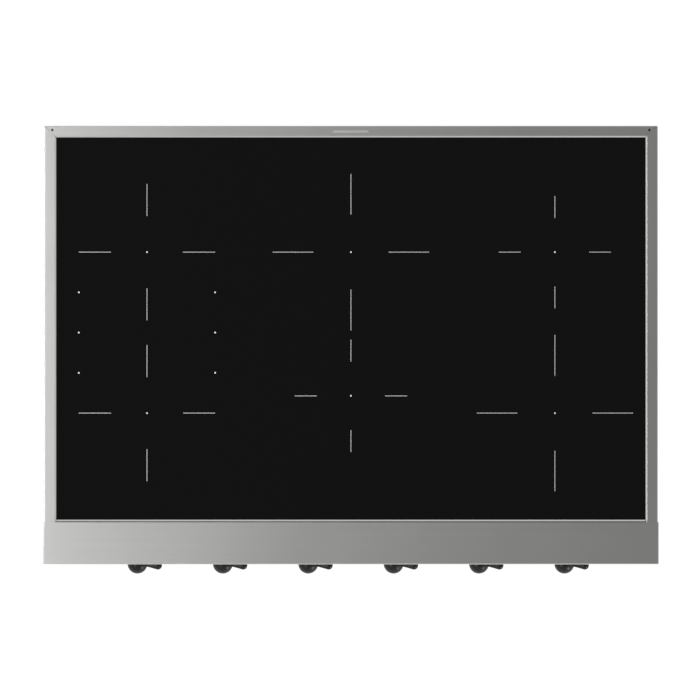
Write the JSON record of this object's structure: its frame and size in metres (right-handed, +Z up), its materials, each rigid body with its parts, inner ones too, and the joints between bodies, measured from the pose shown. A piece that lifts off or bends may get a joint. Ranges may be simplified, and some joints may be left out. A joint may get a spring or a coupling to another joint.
{
  "type": "induction rangetop",
  "caption": "Slide-in induction cooktop: framed black glass with cooking zones, a deep steel front ledge and lever knobs under it.",
  "frame": {"origin": "middle of the overall box, on the plane the case stands on", "axes": "+X to the user's right, +Y to the rear, +Z up; the knobs face -Y"},
  "size_m": [0.911, 0.6638, 0.19],
  "materials": {
    "black_glass": "polished black ceramic glass with printed white zone marks",
    "seal_rubber": "matte silicone",
    "brushed_stainless": "fine brushed stainless steel",
    "satin_badge": "satin, blank",
    "steel_fastener": "zinc plated",
    "knob_black": "satin-gloss moulded graphite black",
    "satin_bezel": "satin chromed ring",
    "light_ring": "frosted translucent white",
    "moulded_black": "moulded, matte",
    "circuit_board": "green solder mask",
    "galvanised_case": "galvanised sheet steel",
    "deck_aluminium": "mill finish",
    "ferrite": "sintered, matte",
    "mica": "pressed mica sheet",
    "copper_winding": "enamelled stranded copper"
  },
  "bodies": {
    "case": {"glass_panel": "black_glass", "glass_seal": "seal_rubber", "left_trim": "brushed_stainless", "right_trim": "brushed_stainless", "rear_trim": "brushed_stainless", "front_glass_rim": "brushed_stainless", "front_ledge": "brushed_stainless", "name_bar": "satin_badge", "fascia": "brushed_stainless", "fascia_screws": "steel_fastener", "base_screws": "steel_fastener", "deck_screws": "steel_fastener", "encoder_nuts": "steel_fastener", "leg_nuts": "steel_fastener", "knob_bezels": "satin_bezel", "light_rings": "light_ring", "rotary_encoders": "moulded_black", "interface_board": "circuit_board", "left_side_wall": "galvanised_case", "right_side_wall": "galvanised_case", "rear_wall": "galvanised_case", "conduit_plate": "galvanised_case", "base_pan": "galvanised_case", "coil_deck": "deck_aluminium", "coil_carriers": "moulded_black", "ferrite_bars": "ferrite", "mica_sheets": "mica", "temperature_sensors": "moulded_black", "board_standoffs": "steel_fastener", "capacitors": "moulded_black", "fan_frame_left": "moulded_black", "fan_frame_right": "moulded_black", "mains_filter_board": "circuit_board", "terminal_block": "moulded_black", "coil_left_rear": "copper_winding", "coil_left_front": "copper_winding", "coil_centre_rear": "copper_winding", "coil_centre_front": "copper_winding", "coil_right_rear": "copper_winding", "coil_right_front": "copper_winding", "inverter_board_left": "circuit_board", "heat_sink_left": "deck_aluminium", "inverter_board_centre": "circuit_board", "heat_sink_centre": "deck_aluminium", "inverter_board_right": "circuit_board", "heat_sink_right": "deck_aluminium"},
    "knob_left_rear_turn": {"knob_left_rear": "knob_black", "control_shaft_left_rear": "steel_fastener"},
    "knob_left_front_turn": {"knob_left_front": "knob_black", "control_shaft_left_front": "steel_fastener"},
    "knob_centre_rear_turn": {"knob_centre_rear": "knob_black", "control_shaft_centre_rear": "steel_fastener"},
    "knob_centre_front_turn": {"knob_centre_front": "knob_black", "control_shaft_centre_front": "steel_fastener"},
    "knob_right_front_turn": {"knob_right_front": "knob_black", "control_shaft_right_front": "steel_fastener"},
    "knob_right_rear_turn": {"knob_right_rear": "knob_black", "control_shaft_right_rear": "steel_fastener"},
    "fan_left_spin": {"fan_rotor_left": "moulded_black"},
    "fan_right_spin": {"fan_rotor_right": "moulded_black"}
  },
  "joints": [
    {"name": "knob_left_rear_hinge", "type": "hinge", "parent": "case", "child": "knob_left_rear_turn", "pos_m": [-0.31675, -0.283, 0.112], "axis": [0, 1, 0], "range_deg": [0, 270]},
    {"name": "knob_left_front_hinge", "type": "hinge", "parent": "case", "child": "knob_left_front_turn", "pos_m": [-0.19005, -0.283, 0.112], "axis": [0, 1, 0], "range_deg": [0, 270]},
    {"name": "knob_centre_rear_hinge", "type": "hinge", "parent": "case", "child": "knob_centre_rear_turn", "pos_m": [-0.06335, -0.283, 0.112], "axis": [0, 1, 0], "range_deg": [0, 270]},
    {"name": "knob_centre_front_hinge", "type": "hinge", "parent": "case", "child": "knob_centre_front_turn", "pos_m": [0.06335, -0.283, 0.112], "axis": [0, 1, 0], "range_deg": [0, 270]},
    {"name": "knob_right_front_hinge", "type": "hinge", "parent": "case", "child": "knob_right_front_turn", "pos_m": [0.19005, -0.283, 0.112], "axis": [0, 1, 0], "range_deg": [0, 270]},
    {"name": "knob_right_rear_hinge", "type": "hinge", "parent": "case", "child": "knob_right_rear_turn", "pos_m": [0.31675, -0.283, 0.112], "axis": [0, 1, 0], "range_deg": [0, 270]},
    {"name": "fan_left_hinge", "type": "hinge", "parent": "case", "child": "fan_left_spin", "pos_m": [-0.15, -0.19, 0.016], "axis": [0, 0, 1], "continuous": true},
    {"name": "fan_right_hinge", "type": "hinge", "parent": "case", "child": "fan_right_spin", "pos_m": [0.15, -0.19, 0.016], "axis": [0, 0, 1], "continuous": true}
  ]
}
